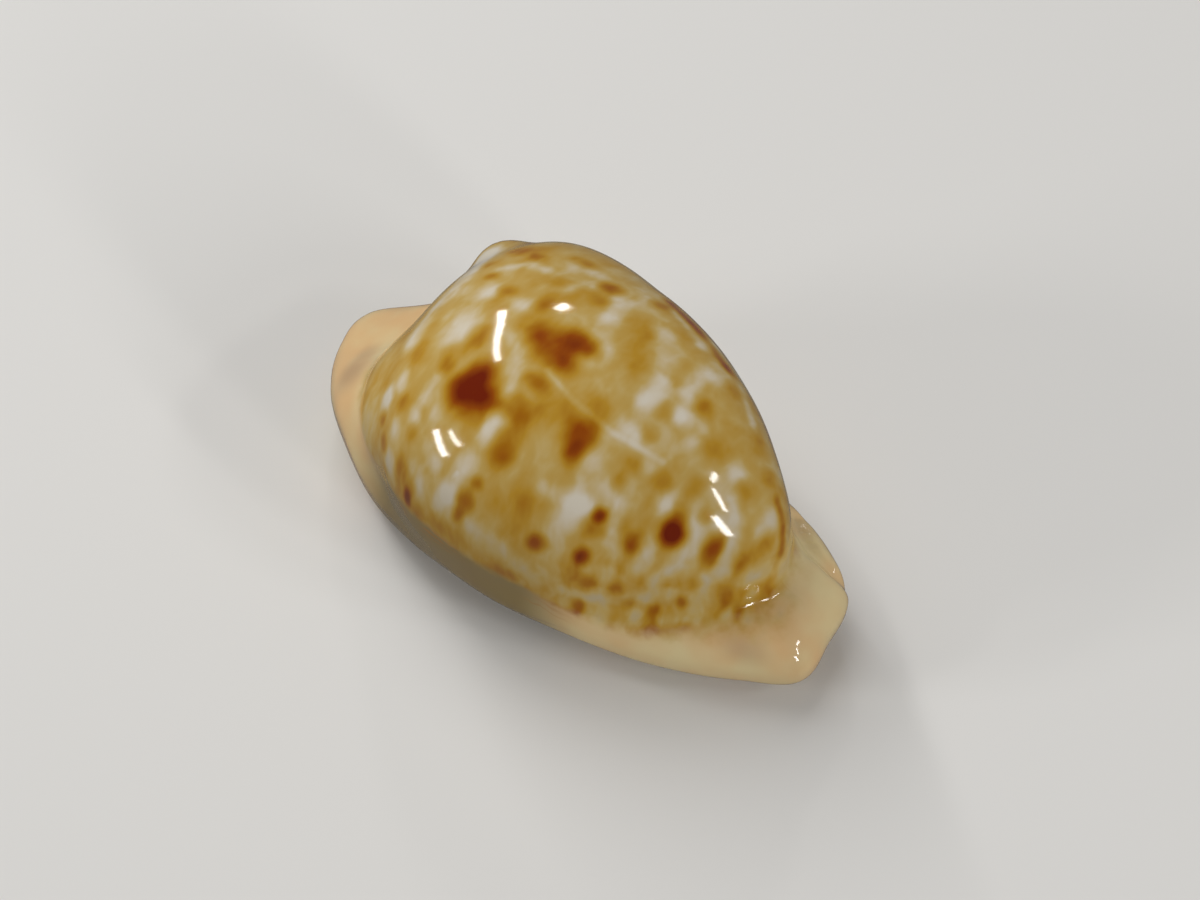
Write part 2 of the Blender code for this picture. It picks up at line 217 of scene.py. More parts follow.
# Where the mottled pattern ends above the callus, as (plan angle in degrees, height)
PATTERN_EDGE = (
    (0, 4.20), (8, 4.35), (25, 4.10), (50, 3.60), (90, 3.20), (130, 4.30), (148, 5.40), (165, 5.90),
    (184, 5.95), (197, 5.75), (206, 5.45), (214, 4.95), (222, 4.90), (229, 5.35), (242, 5.75),
    (251, 5.70), (262, 5.25), (272, 4.90), (284, 4.40), (295, 3.60), (305, 3.12), (314, 3.08),
    (323, 3.24), (331, 3.48), (344, 3.88), (360, 4.20),
)
EDGE_SCALE = 8.0

# Brown markings: the photograph's pixel across and down, half length and half breadth
# in millimetres, and how strongly it stains
BROWN = (
    (472, 393, 1.02, 1.0, 1.4), (483, 371, 0.6, 0.6, 0.7), (458, 388, 0.6, 0.6, 0.5),
    (489, 400, 0.5, 0.5, 0.35), (502, 409, 0.4, 0.34, 0.3), (556, 352, 0.85, 0.75, 0.95),
    (579, 341, 0.85, 0.55, 0.9), (593, 348, 0.45, 0.45, 0.3), (566, 368, 0.42, 0.5, 0.4),
    (537, 330, 0.75, 0.7, 0.55), (580, 436, 0.68, 0.72, 1.1), (573, 455, 0.4, 0.45, 0.45),
    (538, 384, 0.6, 0.42, 0.75), (603, 418, 0.5, 0.5, 0.3), (673, 532, 0.6, 0.6, 1.55),
    (712, 550, 0.3, 0.8, 1.05), (600, 515, 0.3, 0.32, 1.0), (593, 526, 0.5, 0.5, 0.45),
    (536, 543, 0.42, 0.46, 0.85), (582, 557, 0.32, 0.5, 1.05), (591, 583, 0.34, 0.5, 0.55),
    (579, 607, 0.26, 0.5, 0.5), (633, 543, 0.46, 0.55, 0.52), (683, 602, 0.22, 0.4, 0.6),
    (722, 602, 0.26, 0.7, 0.36), (407, 497, 0.24, 0.45, 0.95), (458, 516, 0.26, 0.42, 0.6),
    (466, 502, 0.44, 0.5, 0.48), (478, 483, 0.26, 0.34, 0.48), (384, 443, 0.36, 0.42, 0.55),
    (383, 418, 0.3, 0.36, 0.5), (402, 402, 0.36, 0.4, 0.42), (412, 433, 0.34, 0.4, 0.42),
    (401, 465, 0.4, 0.5, 0.36), (478, 339, 0.46, 0.62, 0.46), (446, 366, 0.42, 0.4, 0.38),
    (508, 291, 0.6, 0.36, 0.42), (547, 303, 0.4, 0.6, 0.36), (519, 251, 0.8, 0.45, 0.5),
    (540, 258, 0.6, 0.34, 0.4), (557, 281, 0.6, 0.4, 0.4), (584, 262, 0.6, 0.4, 0.4),
    (487, 265, 0.4, 0.3, 0.4), (493, 276, 0.5, 0.26, 0.42), (612, 289, 0.5, 0.5, 0.66),
    (600, 301, 0.44, 0.44, 0.45), (661, 306, 0.42, 0.6, 0.46), (733, 390, 0.4, 0.8, 0.42),
    (705, 408, 0.46, 0.5, 0.52), (712, 449, 0.6, 0.65, 0.45), (665, 411, 0.34, 0.42, 0.4),
    (650, 433, 0.34, 0.4, 0.42), (633, 463, 0.44, 0.42, 0.42), (619, 480, 0.26, 0.4, 0.4),
    (661, 481, 0.42, 0.4, 0.42), (760, 448, 0.4, 0.6, 0.4), (770, 478, 0.3, 0.6, 0.4),
    # The mark at pixel (797, 553) darkens the fold at the front end: painted shade.
    (797, 553, 0.2, 0.3, 0.66), (764, 545, 0.3, 0.6, 0.36), (745, 490, 0.34, 0.55, 0.34),
    (705, 517, 0.3, 0.34, 0.32), (637, 585, 0.34, 0.6, 0.44), (665, 583, 0.26, 0.5, 0.42),
    (656, 610, 0.26, 0.42, 0.38), (631, 604, 0.34, 0.4, 0.4), (618, 588, 0.3, 0.46, 0.42),
    (738, 562, 0.26, 0.5, 0.34), (740, 612, 0.26, 0.46, 0.36), (694, 583, 0.26, 0.4, 0.38),
    (505, 573, 0.8, 0.4, 0.34), (603, 562, 0.28, 0.6, 0.42), (650, 525, 0.26, 0.5, 0.3),
    (528, 500, 0.6, 0.6, 0.34), (530, 415, 0.8, 0.6, 0.32), (560, 410, 0.8, 0.6, 0.3),
    (495, 455, 0.7, 0.6, 0.3), (420, 350, 0.4, 0.7, 0.3), (590, 400, 0.6, 0.5, 0.3),
    (506, 375, 0.34, 0.6, 0.22), (560, 290, 0.6, 0.5, 0.2),
)

# Milky patches in the same way, and how strongly each clears the ground
MILKY = (
    (463, 328, 0.72, 0.9, 0.95), (487, 292, 0.62, 0.56, 0.9), (520, 303, 0.7, 0.46, 0.75),
    (387, 400, 0.36, 0.6, 1.1), (402, 384, 0.44, 0.52, 0.95), (566, 288, 0.44, 0.4, 0.45),
    (441, 500, 0.56, 0.8, 0.9), (389, 462, 0.42, 0.56, 0.9), (414, 414, 0.36, 0.4, 0.8),
    (435, 463, 0.3, 0.4, 0.6), (420, 490, 0.36, 0.6, 0.7), (467, 525, 0.4, 0.36, 0.45),
    (667, 336, 0.58, 0.5, 0.55), (628, 432, 0.5, 0.46, 0.6), (648, 468, 0.34, 0.34, 0.45),
    (680, 416, 0.46, 0.42, 0.6), (693, 443, 0.32, 0.45, 0.4), (665, 500, 0.4, 0.36, 0.5),
    (630, 500, 0.4, 0.6, 0.4), (737, 471, 0.36, 0.46, 0.5), (704, 431, 0.3, 0.24, 0.35),
    (586, 364, 0.44, 0.4, 0.25), (575, 512, 0.66, 0.5, 0.3), (783, 570, 0.34, 0.7, 1.1),
    (747, 578, 0.36, 0.6, 0.9), (637, 615, 0.3, 0.5, 0.5), (726, 618, 0.26, 0.5, 0.55),
    (722, 525, 0.36, 0.6, 0.55), (770, 520, 0.3, 0.8, 0.6), (395, 430, 0.45, 0.45, 0.6),
    (422, 440, 0.5, 0.6, 0.45), (392, 478, 0.3, 0.4, 0.6), (415, 470, 0.4, 0.5, 0.5),
    (763, 572, 0.36, 0.6, 0.6), (755, 535, 0.3, 0.6, 0.45), (603, 345, 0.5, 0.5, 0.35),
    (590, 285, 0.6, 0.4, 0.45), (440, 345, 0.4, 0.6, 0.4), (436, 418, 0.4, 0.5, 0.45),
)

# Milky and brown streaks: half width in millimetres, strength, and the photograph's pixels along each
MILKY_STREAKS = (
    (0.36, 0.6, (499, 269), (530, 265), (546, 270)), (0.46, 0.5, (570, 268), (588, 272), (600, 276)),
    (0.5, 0.5, (514, 338), (516, 362), (509, 382)), (0.4, 0.6, (438, 378), (424, 400)),
    (0.8, 0.85, (412, 340), (438, 306), (462, 281), (486, 256)), (0.5, 0.75, (498, 419), (482, 438)),
    (0.46, 0.65, (470, 455), (458, 478), (448, 494)), (0.46, 0.45, (545, 491), (569, 497), (587, 505)),
    (0.7, 0.55, (578, 512), (562, 526), (552, 544), (542, 566), (530, 578)),
    (0.5, 0.5, (496, 542), (508, 556), (520, 568)), (0.6, 0.75, (623, 303), (608, 318)),
    (0.46, 0.6, (663, 384), (655, 395), (646, 401)), (0.5, 0.6, (706, 370), (697, 381), (689, 394)),
    (0.4, 0.55, (676, 314), (690, 330), (700, 345)), (0.36, 0.5, (740, 385), (747, 404), (753, 425)),
    (0.5, 0.38, (598, 458), (602, 478), (612, 500)), (0.46, 0.62, (662, 508), (652, 545), (640, 568)),
    (0.5, 0.72, (692, 508), (693, 535), (678, 565), (658, 582), (648, 600)),
    (0.46, 0.7, (733, 500), (736, 535), (727, 568), (706, 580)),
    (0.5, 0.55, (616, 540), (604, 572), (590, 598)), (0.4, 0.55, (602, 598), (597, 620)),
    (0.4, 0.75, (702, 592), (692, 622)), (0.36, 0.75, (752, 594), (748, 620)),
    (0.34, 0.6, (671, 592), (662, 620)), (0.4, 0.5, (562, 590), (585, 597)),
    (0.36, 0.4, (622, 505), (612, 528)),
)
BROWN_STREAKS = (
    (0.62, 0.42, (520, 404), (513, 428), (503, 455)), (0.8, 0.3, (642, 320), (640, 345), (636, 366)),
    (0.42, 0.46, (699, 483), (688, 500), (682, 512)), (0.34, 0.56, (777, 502), (783, 528), (781, 552)),
    (0.7, 0.34, (434, 524), (450, 536), (468, 550), (490, 566)),
    (0.3, 0.36, (500, 590), (540, 602), (575, 614)), (0.3, 0.34, (603, 630), (640, 634), (690, 628)),
    (0.5, 0.8, (672, 304), (686, 318), (701, 333), (714, 349), (724, 365)),
)

# Thin pale lines, in the same way
PALE_LINES = (
    (0.18, 0.3, (547, 370), (573, 400), (613, 433), (663, 462)), (0.12, 0.3, (457, 473), (413, 527)),
)

# Painted shade in the callus's hollows at the two ends, in grey, placed in the same way
HOLLOW_SHADE = (
    (352, 372, 1.0, 0.9, 0.85), (368, 352, 0.6, 0.5, 0.45), (745, 650, 1.1, 0.6, 0.55),
    (800, 600, 0.6, 0.5, 0.1),
)

# Markings on the side that the photograph doesn't show: plan angle in degrees, then in millimetres the
# height above the base, half length and half breadth, then the strength
HIDDEN_BROWN = (
    (32, 7.0, 0.6, 0.7, 0.9), (48, 9.2, 0.5, 0.5, 0.7), (55, 5.6, 0.5, 0.7, 0.8),
    (55, 7.7, 0.6, 0.5, 0.75), (62, 8.2, 0.6, 0.5, 0.8), (70, 8.5, 0.7, 0.5, 0.9),
    (79, 8.8, 0.6, 0.5, 0.8), (89, 9.0, 0.7, 0.5, 0.7), (68, 5.9, 0.7, 0.8, 0.95),
    (79, 5.0, 0.4, 0.5, 0.7), (97, 6.9, 0.6, 0.7, 0.95), (108, 4.9, 0.4, 0.5, 0.7),
    (118, 8.6, 0.7, 0.7, 0.8), (131, 6.2, 0.8, 0.7, 1.0), (141, 9.0, 0.5, 0.5, 0.7),
    (150, 5.4, 0.5, 0.5, 0.75), (161, 7.6, 0.7, 0.7, 0.9), (172, 5.8, 0.4, 0.5, 0.6),
)
HIDDEN_MILKY = (
    (26, 5.4, 0.4, 0.8, 0.9), (41, 6.4, 0.4, 0.9, 0.9), (62, 9.4, 0.5, 0.9, 0.85),
    (74, 6.4, 0.4, 0.9, 0.9), (92, 8.2, 0.5, 0.8, 0.9), (103, 5.6, 0.4, 0.8, 0.85),
    (124, 7.4, 0.5, 0.9, 0.9), (136, 4.9, 0.4, 0.7, 0.8), (155, 8.8, 0.5, 0.9, 0.9),
    (167, 6.4, 0.4, 0.8, 0.8),
)

# Lamps that give the crisp highlights: name, width as a share of the length, and the photograph's
# pixels of the highlight's two ends. Each stands where the shell mirrors it into the camera.
LAMP_DISTANCE = 300.0
LAMPS = (
    ("strip_left", 0.09, (503, 311), (498, 361)),
    ("lamp_front_left_outer", 0.26, (436, 430), (445, 456)),
    ("lamp_front_left_inner", 0.22, (450, 431), (460, 446)),
    ("lamp_back", 0.60, (557, 309), (567, 304)),
    ("lamp_right_top", 0.30, (712, 481), (716, 473)),
    ("lamp_right_upper", 0.20, (713, 488), (725, 511)),
    ("lamp_right_lower", 0.34, (714, 516), (730, 536)),
)

# How far the markings and the clouds wander, in millimetres, and how many bends a millimetre they take
WANDER = 0.15
CLOUD_WANDER = 0.5
WANDER_SCALE = 0.9

# The clouds and the columns are drawn out across the shell: how their noise is squeezed along X, Y and Z
CLOUD_STRETCH = (1.0, 0.60, 0.40)
COLUMN_STRETCH = (1.0, 0.20, 0.10)

# Layers of the clouds: features a millimetre, and how far each shifts the ground
BROAD_SCALE = 0.34
BROAD_WEIGHT = 0.4
CELL_SCALE = 1.0
CELL_WEIGHT = 0.4
FINE_SCALE = 2.4
FINE_WEIGHT = 0.15
COLUMN_SCALE = 1.3

# Low on the flanks, fully at the first height and not above the second, the columns show, the fine layer
# counts for more, and the milky patches turn to lilac, a darker milk that is partly the enamel's own
# tint and partly painted shade
LOW_FLANKS = (5.0, 10.0)
FINE_LOW_WEIGHT = 0.2
COLUMN_WEIGHT = 0.35

# How brown the ground is, from 0 for milk to 1 for the darkest brown, how far a mark shifts it, where
# the milk gives way, and the colours over it
GROUND = 0.36
STAINING = 0.50
CLEARING = 0.30
MILK_FADE = (0.0, 0.34)
TINTS = ((0.28, "cream"), (0.48, "ochre"), (0.64, "amber"), (0.80, "brown"), (1.0, "dark"))

# Where a mark starts to fade and where it ends, as shares of its size
MARK_FADE = (0.1, 1.75)
LINE_FADE = (0.0, 1.45)

# How ragged the pattern's edge is, in features a millimetre and in millimetres, and where it fades
EDGE_NOISE = 1.6
EDGE_RAGGED = 0.5
EDGE_FADE = (-0.40, 0.30)

# Pale clouds of the callus: features a millimetre, and where they fade
CALLUS_NOISE = 0.35
CALLUS_FADE = (0.7, 0.3)

# Growth lines of the callus: height over the pattern's edge, half width and strength. They are broken
# by noise of so many features a millimetre.
GROWTH_LINES = ((-0.05, 0.20, 0.90), (-0.42, 0.12, 0.70), (-0.80, 0.10, 0.45))
GROWTH_NOISE = 0.6
GROWTH_BREAKS = (0.62, 0.42)

# The stretch of painted shade low down beside the outer lip, where the back and the callus are darkened
# towards olive: how far behind the shell's middle it is, where it fades along the shell, across it and
# near the floor, and how much it darkens the back and the callus
PAINTED_SHADE_MIDDLE = 2.3
PAINTED_SHADE_REACH = (3.5, 7.0)
PAINTED_SHADE_SIDE = (-1.0, 0.5)
PAINTED_SHADE_BOTTOM = (0.5, 0.0)
PAINTED_SHADE_BACK = 0.35
PAINTED_SHADE_CALLUS = 0.92

# Gloss, and the enamel's faint ripple: features a millimetre, strength and height in millimetres
SPECULAR = 0.28
COAT_ROUGHNESS = 0.03
INSIDE_ROUGHNESS = 0.35
FLOOR_ROUGHNESS = 0.7
RIPPLE_SCALE = 5.0
RIPPLE_STRENGTH = 0.25
RIPPLE_HEIGHT = 0.004

# Direction of the soft light from the shell, and the nearest that the camera sees, in metres
SOFT_TOWARDS = (-0.60, 0.20, 1.0)
CAMERA_CLIP = 0.005


def colour(red, green, blue):
    """A display colour, each channel from 0 to 255, as the scene's linear numbers."""
    shares = [channel / 255 for channel in (red, green, blue)]
    return tuple(s / 12.92 if s <= 0.04045 else ((s + 0.055) / 1.055) ** 2.4 for s in shares)


def shade(name, description, red, green, blue):
    """A colour property."""
    return FloatVectorProperty(
        name=name, description=description, subtype="COLOR", size=3, min=0.0, max=1.0,
        default=colour(red, green, blue))


def number(name, description, default, **settings):
    """A number property."""
    return FloatProperty(name=name, description=description, default=default, **settings)


def length(name, description, default, least=0.0):
    """A length property, in metres."""
    return number(name, description, default, min=least, unit="LENGTH", precision=5)


class ShellForm(bpy.types.PropertyGroup):
    """Sizes of the shell's fine surface."""

    columellar_groove: length(
        "Columellar grooves", "Depth of the grooves between the columellar teeth", 0.28 * MM)
    labral_groove: length("Labral grooves", "Depth of the grooves between the labral teeth", 0.38 * MM)
    fine_parts: IntProperty(
        name="Fineness", description="Parts that each segment of the solid is divided into",
        default=FINE_PARTS, min=1, max=5)


class ShellFinish(bpy.types.PropertyGroup):
    """Colours and gloss of the enamel."""

    milk: shade("Milk", "Palest enamel, between the markings on top", 206, 197, 180)
    # Partly the enamel's own tint, partly painted shade: the milk darker and greyer low on the flanks
    lilac: shade("Lilac", "Palest enamel, low on the flanks", 176, 163, 136)
    cream: shade("Cream", "Pale ground round the milky patches", 184, 156, 90)
    ochre: shade("Ochre", "Cloudy ground of the back", 174, 132, 40)
    amber: shade("Amber", "Edges of the brown markings", 156, 102, 10)
    brown: shade("Brown", "Brown markings", 138, 66, 1)
    dark: shade("Dark", "Middle of the darkest markings", 106, 28, 0)
    callus: shade("Callus", "Thick margin round the base", 204, 168, 120)
    callus_pale: shade("Pale callus", "Palest part of the margin", 206, 188, 142)
    # Painted shade: the grey of the callus's hollows at the two ends
    callus_hollow_shade: shade("Grey callus", "Grey hollows of the two ends", 170, 140, 104)
    # Painted shade: the olive that the back and the callus are darkened towards low down beside the
    # outer lip
    painted_shade_olive: shade("Olive", "Dull enamel low down beside the outer lip", 116, 98, 60)
    growth: shade("Growth lines", "Thin brown lines along the margin", 150, 104, 56)
    inside: shade("Inside", "Inside wall", 206, 186, 176)
    roughness: number(
        "Roughness", "Roughness of the enamel under its gloss", 0.10, min=0.0, max=1.0, subtype="FACTOR")
    glaze: number("Glaze", "Strength of the clear gloss", 0.16, min=0.0, max=1.0, subtype="FACTOR")


class Studio(bpy.types.PropertyGroup):
    """The floor, the lights and the camera."""

    elevation: number(
        "Elevation", "Camera's angle above the floor", math.radians(54.0), subtype="ANGLE")
    azimuth: number(
        "Azimuth", "Camera's angle from the outer lip's side towards the front end",
        math.radians(36.8), subtype="ANGLE")
    distance: length("Distance", "Camera's distance from the shell", 110.0 * MM, 0.05)
    floor_size: length("Floor", "Side of the square floor", 1.6, 0.1)
    floor_colour: shade("Floor colour", "Plain pale floor", 214, 212, 208)
    soft_size: length("Soft light size", "Side of the large overhead light", 0.5, 0.05)
    soft_distance: length("Soft light distance", "Distance of the large overhead light", 0.6, 0.1)
    soft_radiance: number("Soft light", "Brightness of the large overhead light", 2.25, min=0.0)
    lamp_radiance: number(
        "Lamps", "Brightness of the lamps that give the crisp highlights", 32.0, min=0.0)
    sky: number("Sky", "Strength of the light from all round", 0.16, min=0.0)
    sky_colour: shade("Sky colour", "Colour of the light from all round", 236, 238, 242)


def through(knots, at):
    """Smooth curve through (place, value) knots."""
    places, values = np.array(knots, float).T
    steps = np.diff(places)
    slopes = np.diff(values) / steps
    inner = (slopes[:-1] * steps[1:] + slopes[1:] * steps[:-1]) / (steps[:-1] + steps[1:])
    tangents = np.concatenate([slopes[:1], inner, slopes[-1:]])
    at = np.clip(at, places[0], places[-1])
    i = np.clip(np.searchsorted(places, at, side="right") - 1, 0, len(steps) - 1)
    h = steps[i]
    t = (at - places[i]) / h
    rise = t * t * (3 - 2 * t)
    bend = t * (1 - t) * h * ((1 - t) * tangents[i] - t * tangents[i + 1])
    return values[i] * (1 - rise) + values[i + 1] * rise + bend


def around(knots, angle):
    """Smooth closed curve through (angle in degrees, value) knots, at an angle in radians."""
    turns = [(a + turn, value) for turn in (-360, 0, 360) for a, value in knots]
    return through(turns, np.degrees(angle) % 360)


def smooth_min(a, b, blend):
    """The smaller of two distances, rounded over where they meet."""
    share = np.clip(0.5 + 0.5 * (b - a) / blend, 0, 1)
    return b * (1 - share) + a * share - blend * share * (1 - share)


def distance_to_line(x, y, line):
    """Distance in plan from points to a line of straight runs."""
    nearest = np.full(np.shape(x), np.inf)
    for (ax, ay), (bx, by) in zip(line, line[1:]):
        dx, dy = bx - ax, by - ay
        share = np.clip(((x - ax) * dx + (y - ay) * dy) / (dx * dx + dy * dy), 0, 1)
        nearest = np.minimum(nearest, np.hypot(x - ax - share * dx, y - ay - share * dy))
    return nearest


def relief(x, y, folds):
    """Height of the folds at points in plan."""
    total = np.zeros(np.shape(x))
    for line, width, height in folds:
        reach = distance_to_line(x, y, line) / width
        total = total + height * np.exp(-reach * reach)
    return total


def dome(x, y, z):
    """Rough signed distance to the dome, below zero inside it."""
    along = (x - DOME_CENTRE[0]) / DOME_HALF_LENGTH
    half_width = DOME_HALF_WIDTH * (1 + WIDTH_TAPER[0] * along + WIDTH_TAPER[1] * along ** 2)
    rise = DOME_RISE * (1 + HEIGHT_TAPER[0] * along + HEIGHT_TAPER[1] * along ** 2)
    across = np.abs(y - DOME_CENTRE[1]) / half_width
    plan = np.abs(along) ** PLAN_SQUARENESS + across ** PLAN_SQUARENESS
    up = z - DOME_WIDEST_AT
    upright = np.where(up > 0, (up / rise) ** 2, (np.abs(up) / DOME_DROP) ** LOWER_SQUARENESS)
    field = (np.sqrt((plan + TINY) ** (2 / PLAN_SQUARENESS) + upright) - 1) * FIELD_SCALE
    for (cx, cy, cz), radius, blend in SWELLINGS:
        away = np.sqrt((x - cx) ** 2 + (y - cy) ** 2 + (z - cz) ** 2) - radius
        field = smooth_min(field, away, blend)
    return field


def callus(x, y, z):
    """Rough signed distance to the callus that rims the base."""
    angle = np.arctan2(y, x)
    reach = around(CALLUS_REACH, angle)
    depth = around(CALLUS_DEPTH, angle)
    height = around(CALLUS_HEIGHT, angle) + relief(x, y, CALLUS_FOLDS)
    thickness = np.where(z > height, around(CALLUS_HALF_THICKNESS, angle), height + CALLUS_DROP)
    outward = np.maximum(np.hypot(x, y) - (reach - depth), 0) / depth
    return (np.sqrt(outward ** 2 + ((z - height) / thickness) ** 2) - 1) * np.minimum(depth, thickness)


def base_height(x, y):
    """Height of the underside in plan."""
    share = np.hypot(x, y) / around(CALLUS_REACH, np.arctan2(y, x))
    edge = np.clip((share - FLAT_SHARE) / (1 - FLAT_SHARE), 0, None)
    return BASE_RISE * edge ** BASE_CURVE + relief(x, y, CANALS)


def waves(x, y, z):
    """Slow shallow waves of the enamel."""
    total = 0.0
    for rates, start, height in WAVES:
        turn = sum(rate * place for rate, place in zip(rates, (x, y, z)))
        total = total + height * np.sin(turn + start)
    return total


def shell_field(x, y, z):
    """Rough signed distance to the whole outside of the shell."""
    blend = around(CALLUS_BLEND, np.arctan2(y, x))
    above = smooth_min(dome(x, y, z), callus(x, y, z), blend) + waves(x, y, z)
    return -smooth_min(-above, z - base_height(x, y), BASE_BLEND)


def solve(place, field):
    """Points at the shares of the way, from 0 inside to 1 outside, where the field is zero."""
    low = np.zeros(np.shape(place(0.5)[0]))
    high = np.ones_like(low)
    for _ in range(SOLVE_STEPS):
        middle = (low + high) / 2
        within = field(*place(middle)) < 0
        low = np.where(within, middle, low)
        high = np.where(within, high, middle)
    return np.stack(place((low + high) / 2), axis=-1)


def plan_angle(segment):
    """Plan angle at which a segment meets the callus, in line with the aperture's two ends."""
    back = END_SEGMENTS + COLUMELLAR_SEGMENTS
    first = np.pi * segment / back
    second = np.pi * (1 + (segment - back) / (SEGMENTS - back))
    turn = np.where(segment < back, first, second)
    hind_x, hind_y = SLIT_LINE[0]
    front_x, front_y = SLIT_LINE[-1]
    front_share = 0.5 + 0.5 * np.cos(turn)
    lean = front_share * math.atan(front_y / front_x) + (1 - front_share) * math.atan(hind_y / hind_x)
    return np.arctan2(PLAN_OVAL * np.sin(turn), np.cos(turn)) + lean


def slit(segment):
    """Point on the aperture's edge in plan, and the direction away from the gap."""
    half = END_SEGMENTS / 2
    segment = segment % SEGMENTS
    hind = half + COLUMELLAR_SEGMENTS
    labral = hind + END_SEGMENTS
    start, end = SLIT_LINE[0][0], SLIT_LINE[-1][0]
    start_gap, end_gap = SLIT_HALF_WIDTH[0][1], SLIT_HALF_WIDTH[-1][1]
    first, last = start + start_gap, end - end_gap
    forward = np.clip((segment - labral) / LABRAL_SEGMENTS, 0, 1)
    backward = np.clip((segment - half) / COLUMELLAR_SEGMENTS, 0, 1)
    on_labral = segment >= hind + half
    x = np.where(on_labral, first + (last - first) * forward, last + (first - last) * backward)
    front_turn = np.where(segment < half, segment, segment - SEGMENTS) / half * np.pi / 2
    hind_turn = np.pi / 2 + (segment - hind) / END_SEGMENTS * np.pi
    in_front = (segment < half) | (segment > SEGMENTS - half)
    in_hind = (segment > hind) & (segment < labral)
    side_turn = np.where(on_labral, -np.pi / 2, np.pi / 2)
    turn = np.where(in_front, front_turn, np.where(in_hind, hind_turn, side_turn))
    slope = (through(SLIT_LINE, x + SLOPE_STEP) - through(SLIT_LINE, x - SLOPE_STEP)) / (2 * SLOPE_STEP)
    lean = np.arctan(slope)
    gap = through(SLIT_HALF_WIDTH, x)
    out = np.stack([np.cos(turn + lean), np.sin(turn + lean)], axis=-1)
    middle = np.stack([x, through(SLIT_LINE, x)], axis=-1)
    return middle + gap[..., None] * out, out


def underside(plan):
    """Points of the underside at points in plan."""
    x, y = plan[..., 0], plan[..., 1]
    inside = around(CALLUS_HEIGHT, np.arctan2(y, x)) + relief(x, y, CALLUS_FOLDS) + INSIDE_LIFT
    return solve(lambda share: (x, y, inside * (1 - share) - share), shell_field)


def lip_room(edge):
    """How wide the lip can be at points on the aperture's edge."""
    reach = around(CALLUS_REACH, np.arctan2(edge[..., 1], edge[..., 0]))
    return np.minimum(LIP_REACH, LIP_ROOM * (reach - np.hypot(edge[..., 0], edge[..., 1])))


def groove_depth(segment, form):
    """Depth of the grooves between the teeth, zero on a tooth's crest and round the ends."""
    first = END_SEGMENTS / 2
    depth = np.zeros(np.shape(segment))
    rows = ((COLUMELLAR_TEETH, form.columellar_groove), (LABRAL_TEETH, form.labral_groove))
    for count, groove in rows:
        last = first + count * TOOTH_SEGMENTS
        wave = np.abs(np.sin(np.pi * (segment - first) / TOOTH_SEGMENTS)) ** CREST_SHARPNESS
        depth = np.where((segment > first) & (segment < last), groove / MM * wave, depth)
        first = last + END_SEGMENTS
    return depth


def smooth_around(values, segments):
    """Values at the segments, each blended with its neighbours round the shell."""
    step = SEGMENTS / len(segments)
    window = int(FOLD_SMOOTHING * FOLD_WINDOW / step)
    offsets = np.arange(-window, window + 1)
    weights = np.exp(-0.5 * (offsets * step / FOLD_SMOOTHING) ** 2)
    rolled = [np.roll(values, offset) * weight for offset, weight in zip(offsets, weights)]
    return sum(rolled) / weights.sum()


def outside_rings(segments, dome_count, callus_count, lip_start):
    """Rings from the top of the dome to the fold, then over the callus to its underside."""
    angle = plan_angle(segments)
    reach = around(CALLUS_REACH, angle)
    focus = SECTION_FOCUS * reach
    height = around(CALLUS_HEIGHT, angle)
    top = solve(lambda share: (0 * share, 0 * share, INSIDE_DOME + share * SOLVE_REACH), shell_field)[2]
    first = np.arctan2(top - height, -focus)
    sweep = np.linspace(0, 1, SECTION_POINTS)[:, None]
    turn = first + (math.radians(SECTION_END) - first) * sweep

    def place(share):
        out = focus + share * SOLVE_REACH * np.cos(turn)
        return out * np.cos(angle), out * np.sin(angle), height + share * SOLVE_REACH * np.sin(turn)

    section = solve(place, shell_field)
    x, y, z = np.moveaxis(section, -1, 0)
    radius = np.hypot(x, y)
    past_fold = (dome(x, y, z) > callus(x, y, z)) & (z < FOLD_TOP)
    started = np.hypot(lip_start[:, 0], lip_start[:, 1])
    past_edge = reach - CALLUS_PAST_EDGE * around(CALLUS_DEPTH, angle)
    stop = np.maximum(past_edge, started + CALLUS_PAST_LIP * (reach - started))
    steps = np.linalg.norm(np.diff(section, axis=0), axis=2)
    along = np.concatenate([np.zeros((1, len(segments))), np.cumsum(steps, axis=0)])
    columns = np.arange(len(segments))
    fold = smooth_around(along[np.argmax(past_fold, axis=0), columns], segments)
    widest = np.argmax(radius, axis=0)
    beyond = (np.arange(SECTION_POINTS)[:, None] > widest) & (radius < stop)
    last = np.argmax(beyond, axis=0)
    drop = radius[last - 1, columns] - radius[last, columns]
    share = (radius[last - 1, columns] - stop) / drop
    end = along[last - 1, columns] * (1 - share) + along[last, columns] * share

    over_dome = 1 - (1 - np.arange(1, dome_count + 1) / dome_count) ** RING_CROWDING
    over_callus = np.arange(1, callus_count + 1) / callus_count
    places = np.concatenate([over_dome[:, None] * fold, fold + over_callus[:, None] * (end - fold)])
    rings = np.zeros((len(places), len(segments), 3))
    for column in columns:
        at, known = places[:, column], along[:, column]
        for axis in range(3):
            rings[:, column, axis] = np.interp(at, known, section[:, column, axis])
    return rings, top


